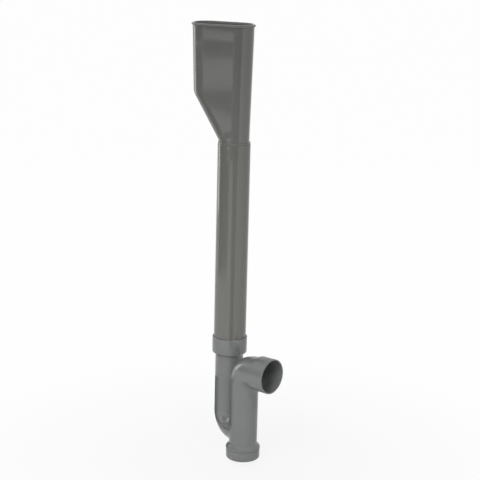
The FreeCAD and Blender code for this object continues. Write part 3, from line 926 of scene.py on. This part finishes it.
def hopper_shifts(sizes, tall, height):
    """The shifts of the slanted and of the upright end at a height over the pipe's rim."""
    right = sizes.foot_shift + sizes.lean * height / tall
    foot = sizes.ring_height
    ease = sizes.corner_ease
    corner = sizes.corner_height
    slope_under = (sizes.corner_shift - sizes.foot_shift) / (corner - foot)
    slope_over = (sizes.rim_shift - sizes.corner_shift) / (tall - corner)
    off = min(max(height - corner, -ease), ease)
    left = sizes.corner_shift + (height - corner) * (slope_under if height < corner else slope_over)
    left -= (slope_under - slope_over) * (ease - abs(off)) ** 2 / (4 * ease)
    return left, right


class TRAP_OT_hopper(bpy.types.Operator):
    """Models the oval hopper with its slanted side, beaded rim, ring and spigot"""

    bl_idname = "trap.hopper"
    bl_label = "Oval Hopper"

    def execute(self, context):
        sizes = context.scene.trap_hopper
        base = PIPE_HIGH.z
        tall = HOPPER_HIGH.z - base
        bore = sizes.spigot_radius - sizes.spigot_wall
        ease = sizes.corner_ease
        corner = sizes.corner_height
        bead_top = tall - sizes.bead_lip
        bead_foot = bead_top - sizes.bead_height
        heights = [sizes.ring_height, corner / 3, corner / 1.5]
        heights += [corner + ease * step / EASE_RINGS for step in range(-EASE_RINGS, EASE_RINGS + 1)]
        heights += [corner + (bead_foot - corner) * step / WALL_RINGS for step in range(1, WALL_RINGS)]
        heights.append(bead_foot)

        def oval(height, inset):
            end_radius = sizes.foot_radius + sizes.draft * height / tall - inset
            return (height, end_radius, *hopper_shifts(sizes, tall, height))

        run = OvalRun("hopper", HOPPER_LOW.z - base, sizes.spigot_radius - sizes.lead_step, sizes.sides)
        spigot_end = run.height
        run.section(spigot_end + sizes.spigot_lead, sizes.spigot_radius)
        run.section(0, sizes.spigot_radius)
        run.section(0, sizes.ring_radius)
        run.section(sizes.ring_height, sizes.ring_radius)
        for height in heights:
            run.section(*oval(height, 0))
        run.section(*oval(bead_foot, -sizes.bead_width))
        run.section(*oval(bead_top, -sizes.bead_width))
        run.section(*oval(bead_top, 0))
        run.section(*oval(tall, 0))
        run.section(*oval(tall, sizes.wall))
        for height in reversed(heights):
            run.section(*oval(height, sizes.wall))
        run.section(sizes.ring_height / 2, bore)
        run.section(spigot_end, bore)
        run.section(spigot_end, sizes.spigot_radius - sizes.lead_step)
        close_skin()
        fine = sizes.edge_round
        run.round_section(*oval(bead_foot, -sizes.bead_width), sizes.bead_round, segments=6)
        run.round_section(*oval(bead_top, -sizes.bead_width), sizes.bead_round, segments=6)
        run.round_section(*oval(bead_foot, 0), sizes.bead_fillet)
        run.round_section(*oval(tall, sizes.wall), 2 * fine)
        run.round_section(0, sizes.ring_radius, 0, 0, fine)
        run.round_section(sizes.ring_height, sizes.ring_radius, 0, 0, 2 * fine)
        run.round_section(*oval(sizes.ring_height, 0), 2 * fine)
        run.round_section(spigot_end + sizes.spigot_lead, sizes.spigot_radius, 0, 0, 2 * fine)
        run.round_section(spigot_end, bore, 0, 0, fine)
        make_active(run.piece)
        run.piece.rotation_euler = (0, 0, sizes.turn)
        run.piece.location = on_leg(base)
        settle()
        grey = hopper_grey(context.scene.trap_finishes)
        finish_piece(run.piece, "double_inlet_hopper", "hopper", grey)
        return {"FINISHED"}


# Cleanout

class TRAP_OT_cap(bpy.types.Operator):
    """Models the screw cap with its rounded foot, its recess and its grip bar"""

    bl_idname = "trap.cap"
    bl_label = "Cleanout Cap"

    def execute(self, context):
        sizes = context.scene.trap_cleanout
        trap = context.scene.trap_sizes
        outer = sizes.cap_radius
        inner = outer - sizes.cap_wall
        recess = outer - sizes.recess_rim
        bottom = CAP_LOW.z
        top = CAP_HIGH.z
        floor_foot = bottom + sizes.recess_depth
        floor_top = floor_foot + sizes.cap_floor
        run = RingRun("cap", on_riser(floor_foot), UP, recess, trap.sides)
        run.go(-sizes.recess_depth)
        run.go(0, outer)
        run.go(top - bottom)
        run.go(0, inner)
        run.go(floor_top - top)
        run.cap_ends()
        round_ring(on_riser(bottom), UP, outer, sizes.cap_round, segments=8)
        round_ring(on_riser(bottom), UP, recess, sizes.edge_round)
        round_ring(on_riser(floor_foot), UP, recess, sizes.edge_round)
        round_ring(on_riser(top), UP, outer, sizes.edge_round)
        round_ring(on_riser(top), UP, inner, sizes.edge_round / 2)
        deselect_all()
        foot = bottom + sizes.grip_set
        deep = sizes.recess_depth - sizes.grip_set + sizes.cap_floor / 2
        bar = (2 * recess + sizes.edge_round, sizes.grip_width, deep)
        bpy.ops.mesh.primitive_cube_add(size=1, location=on_riser(foot + deep / 2), scale=bar)
        grip = context.object
        settle()
        edit(grip)
        pick_edges(lambda point: abs(point.z - foot) < NEAR)
        bevel_picked(2 * sizes.edge_round, segments=4)
        cap = combine(run.piece, grip, "UNION")
        finish_piece(cap, "cleanout_cap", "cap", trap_grey(context.scene.trap_finishes))
        return {"FINISHED"}


class TRAP_OT_seal(bpy.types.Operator):
    """Models the flat rubber seal with its softened edges"""

    bl_idname = "trap.seal"
    bl_label = "Cleanout Seal"

    def execute(self, context):
        sizes = context.scene.trap_cleanout
        outer = (SEAL_HIGH.y - SEAL_LOW.y) / 2
        inner = sizes.seal_bore
        thick = SEAL_HIGH.z - SEAL_LOW.z
        run = RingRun("seal", on_riser(SEAL_LOW.z), UP, outer, context.scene.trap_sizes.sides)
        run.go(thick)
        run.go(0, inner)
        run.go(-thick)
        run.go(0, outer)
        close_skin()
        for height in (SEAL_LOW.z, SEAL_HIGH.z):
            for radius in (outer, inner):
                round_ring(on_riser(height), UP, radius, sizes.seal_round)
        rubber = seal_rubber(context.scene.trap_finishes)
        finish_piece(run.piece, "cleanout_seal", "seal", rubber)
        return {"FINISHED"}


# Stage

WHITE = (1, 1, 1, 1)
FELT = (0.03, 0.03, 0.03, 1)

# The floor's width and how far it lies under the unscrewed cap, in metres
FLOOR_SIZE = 14
FLOOR_GAP = 0.5 * MM

# The floor's own glow grows from the near share to the far one, between these distances from the foot: the
# floor is painted darker round the foot, a painted shade that also lets the real shadow show more there
GLOW_START = 0.03
GLOW_END = 0.45
NEAR_GLOW = 0.88
FAR_GLOW = 0.985

# The cards stand round the riser, most of them on a wide circle: its radius, the height where the upper
# cards meet the lower ones, and the top. The window between the upper cards lies between two angles.
CARD_SIDES = 180
CARD_REACH = 0.45
CARD_BELT = 0.19
CARD_TOP = 0.44
WINDOW_LEFT = -14
WINDOW_RIGHT = 8


def white_where_seen(tree, unseen, seen):
    """Mixes a shader with a white one that the camera and mirrored or refracted rays meet."""
    path = tree.nodes.new("ShaderNodeLightPath")
    mix = tree.nodes.new("ShaderNodeMixShader")
    met = path.outputs["Is Camera Ray"]
    for ray in ("Is Glossy Ray", "Is Transmission Ray"):
        either = tree.nodes.new("ShaderNodeMath")
        either.operation = "MAXIMUM"
        tree.links.new(met, either.inputs[0])
        tree.links.new(path.outputs[ray], either.inputs[1])
        met = either.outputs[0]
    tree.links.new(met, mix.inputs[0])
    tree.links.new(unseen, mix.inputs[1])
    tree.links.new(seen, mix.inputs[2])
    return mix.outputs[0]


def studio_world(ambient):
    """Light from all round, seen as white."""
    world = bpy.data.worlds.new("studio")
    world.use_nodes = True
    tree = world.node_tree
    lit = tree.nodes["Background"]
    lit.inputs["Color"].default_value = WHITE
    lit.inputs["Strength"].default_value = ambient
    seen = add_node(tree, "ShaderNodeBackground", Color=WHITE, Strength=1.0)
    mixed = white_where_seen(tree, lit.outputs[0], seen.outputs[0])
    tree.links.new(mixed, tree.nodes["World Output"].inputs["Surface"])
    return world


def floor_paper(paper, foot):
    """White paper that keeps the trap's soft shadow, with a painted shade round its foot where it glows
    less.
    """
    material = bpy.data.materials.new("floor_paper")
    material.use_nodes = True
    tree = material.node_tree
    matt = tree.nodes["Principled BSDF"]
    matt.inputs["Base Color"].default_value = (*paper, 1)
    matt.inputs["Roughness"].default_value = 0.9
    matt.inputs["Specular IOR Level"].default_value = 0.0
    glow = add_node(tree, "ShaderNodeEmission", Strength=1.0)
    place = tree.nodes.new("ShaderNodeTexCoord")
    away = tree.nodes.new("ShaderNodeVectorMath")
    away.operation = "DISTANCE"
    away.inputs[1].default_value = foot
    # Less glow near the foot paints a shade on the floor round it, on top of the real shadow
    share = add_node(
        tree, "ShaderNodeMapRange",
        From_Min=GLOW_START, From_Max=GLOW_END, To_Min=NEAR_GLOW, To_Max=FAR_GLOW,
    )
    share.interpolation_type = "SMOOTHSTEP"
    bright = tree.nodes.new("ShaderNodeMixShader")
    tree.links.new(place.outputs["Object"], away.inputs[0])
    tree.links.new(away.outputs["Value"], share.inputs["Value"])
    tree.links.new(share.outputs["Result"], bright.inputs[0])
    tree.links.new(matt.outputs[0], bright.inputs[1])
    tree.links.new(glow.outputs[0], bright.inputs[2])
    mixed = white_where_seen(tree, matt.outputs[0], bright.outputs[0])
    tree.links.new(mixed, tree.nodes["Material Output"].inputs["Surface"])
    return material


def card_felt():
    """Dark felt of the cards."""
    if "card_felt" in bpy.data.materials:
        return bpy.data.materials["card_felt"]
    material = bpy.data.materials.new("card_felt")
    material.use_nodes = True
    tree = material.node_tree
    glow = add_node(tree, "ShaderNodeEmission", Color=FELT)
    tree.links.new(glow.outputs[0], tree.nodes["Material Output"].inputs["Surface"])
    return material


def dark_card(name, span, rise, reach=CARD_REACH):
    """A dark card that stands round the trap and shows only in the gloss of its plastics.

    Its span is two angles in degrees, to the right of the front, and its rise is its foot and its top.
    """
    start, end = span
    low, high = rise
    card = draw_ring(name, CARD_SIDES, reach, on_riser(low))
    skin = bmesh.from_edit_mesh(card.data)
    skin.verts.index_update()
    beyond = []
    for point in skin.verts:
        way = math.degrees(math.atan2(point.co.x - RISER_AXIS.x, RISER_AXIS.y - point.co.y))
        if not start <= way <= end:
            beyond.append(point.index)
    pick_points(beyond)
    bpy.ops.mesh.delete(type="VERT")
    bpy.ops.mesh.select_all(action="SELECT")
    bpy.ops.mesh.extrude_region_move(TRANSFORM_OT_translate={"value": (0, 0, high - low)})
    make_active(card)
    for ray in ("camera", "diffuse", "transmission", "volume_scatter", "shadow"):
        setattr(card, "visible_" + ray, False)
    card.data.materials.append(card_felt())


def set_cards(floor_top):
    """The cards that give the gloss its dark bands, with a window for the bright one on the hopper."""
    window = (WINDOW_LEFT, WINDOW_RIGHT)
    dark_card("upper_front", span=(WINDOW_RIGHT, 72), rise=(CARD_BELT, CARD_TOP))
    dark_card("upper_left", span=(-66, WINDOW_LEFT), rise=(CARD_BELT, 0.34))
    dark_card("lower_front", span=(31, 64), rise=(floor_top, CARD_BELT))
    dark_card("lower_left", span=(-66, 6), rise=(0, CARD_BELT))
    dark_card("lower_side", span=(-112, -60), rise=(floor_top, -0.05), reach=0.13)
    dark_card("window_head", span=window, rise=(0.318, CARD_TOP))
    dark_card("window_sill", span=window, rise=(0.231, 0.270))


def soft_lamp(name, watts, place, aim, size, height=0.0, spread=180, in_gloss=False):
    """A square or upright lamp that looks at a point, its light held to a spread in degrees."""
    deselect_all()
    bpy.ops.object.light_add(type="AREA", location=place)
    lamp = bpy.context.object
    lamp.name = name
    lamp.rotation_euler = (aim - Vector(place)).to_track_quat("-Z", "Y").to_euler()
    lamp.data.energy = watts
    lamp.data.size = size
    if height:
        lamp.data.shape = "RECTANGLE"
        lamp.data.size_y = height
    lamp.data.spread = math.radians(spread)
    lamp.visible_glossy = in_gloss
    return lamp


def set_lamps(stage, aim):
    """The lamps round the trap, of which only the one on the left shows in the gloss."""
    soft_lamp("key", stage.key, place=(-0.25, -1.7, 1.75), aim=aim, size=1.7)
    soft_lamp(
        "side", stage.side, place=(-1.04, -0.09, 0.22), aim=on_riser(0.22), size=0.2, height=0.5,
        in_gloss=True,
    )
    soft_lamp("front", stage.front, place=(0.41, -1.39, 1.14), aim=on_riser(0), size=0.4)
    soft_lamp("low", stage.low, place=(0.12, -0.62, 0), aim=on_riser(-0.05), size=0.5, spread=80)
    soft_lamp("right", stage.right, place=(0.652, 0.281, -0.05), aim=on_riser(-0.06), size=0.4)
    stop = Vector((-SOCKET_DEPTH, 0, 0))
    soft_lamp("mouth", stage.mouth, place=(0.9, -0.62, 1.2), aim=stop, size=0.3, spread=40)
    rear = soft_lamp("rear", stage.rear, place=(-1.12, 1.31, 0.75), aim=aim, size=0.6)
    rear.visible_camera = False


class TRAP_OT_stage(bpy.types.Operator):
    """Sets the pale floor, the soft light and the camera"""

    bl_idname = "trap.stage"
    bl_label = "Stage"

    def execute(self, context):
        stage = context.scene.trap_stage
        floor_top = CAP_LOW.z - context.scene.trap_sizes.thread_pitch * CAP_TURNS
        deselect_all()
        bpy.ops.mesh.primitive_plane_add(size=FLOOR_SIZE, location=(LEG_AXIS.x, 0, floor_top - FLOOR_GAP))
        floor = context.object
        floor.name = "floor"
        settle()
        floor.data.materials.append(floor_paper(stage.paper, on_riser(floor_top)))
        middle = (LEG_AXIS + RISER_AXIS) / 2
        aim = Vector((middle.x, middle.y, stage.aim))
        set_lamps(stage, aim)
        set_cards(floor_top)
        context.scene.world = studio_world(stage.ambient)
        back = Vector((math.sin(stage.azimuth), -math.cos(stage.azimuth), 0))
        eye = Vector((middle.x, middle.y, stage.eye)) + back * stage.distance
        deselect_all()
        bpy.ops.object.camera_add(location=eye)
        camera = context.object
        camera.name = "camera"
        look = (aim - eye).to_track_quat("-Z", "Y")
        camera.rotation_euler = (look @ Quaternion(UP, stage.roll)).to_euler()
        camera.data.lens = stage.focal
        context.scene.camera = camera
        context.scene.view_settings.view_transform = "Standard"
        return {"FINISHED"}


class TRAP_PT_sidebar(bpy.types.Panel):
    """Lists the trap's pieces and sizes"""

    bl_idname = "TRAP_PT_sidebar"
    bl_label = "Double Inlet Trap"
    bl_space_type = "VIEW_3D"
    bl_region_type = "UI"
    bl_category = "Trap"

    def draw(self, context):
        for operator in OPERATORS:
            self.layout.operator(operator.bl_idname)
        for holder in HOLDERS:
            group = getattr(context.scene, holder)
            box = self.layout.box()
            for name in group.__annotations__:
                box.prop(group, name)


HOLDERS = {
    "trap_sizes": TrapSizes,
    "trap_hopper": HopperSizes,
    "trap_cleanout": CleanoutSizes,
    "trap_finishes": TrapFinishes,
    "trap_stage": TrapStage,
}
OPERATORS = (
    TRAP_OT_moulding, TRAP_OT_standpipe, TRAP_OT_hopper, TRAP_OT_seal, TRAP_OT_cap, TRAP_OT_stage,
)


def register():
    for item in (*HOLDERS.values(), *OPERATORS, TRAP_PT_sidebar):
        bpy.utils.register_class(item)
    for holder, group in HOLDERS.items():
        setattr(bpy.types.Scene, holder, PointerProperty(type=group))


def unregister():
    for holder in HOLDERS:
        delattr(bpy.types.Scene, holder)
    for item in (TRAP_PT_sidebar, *reversed(OPERATORS), *reversed(HOLDERS.values())):
        bpy.utils.unregister_class(item)


def main():
    register()
    bpy.ops.trap.moulding()
    bpy.ops.trap.standpipe()
    bpy.ops.trap.hopper()
    bpy.ops.trap.seal()
    bpy.ops.trap.cap()
    bpy.ops.trap.stage()
    deselect_all()


if __name__ == "__main__":
    main()
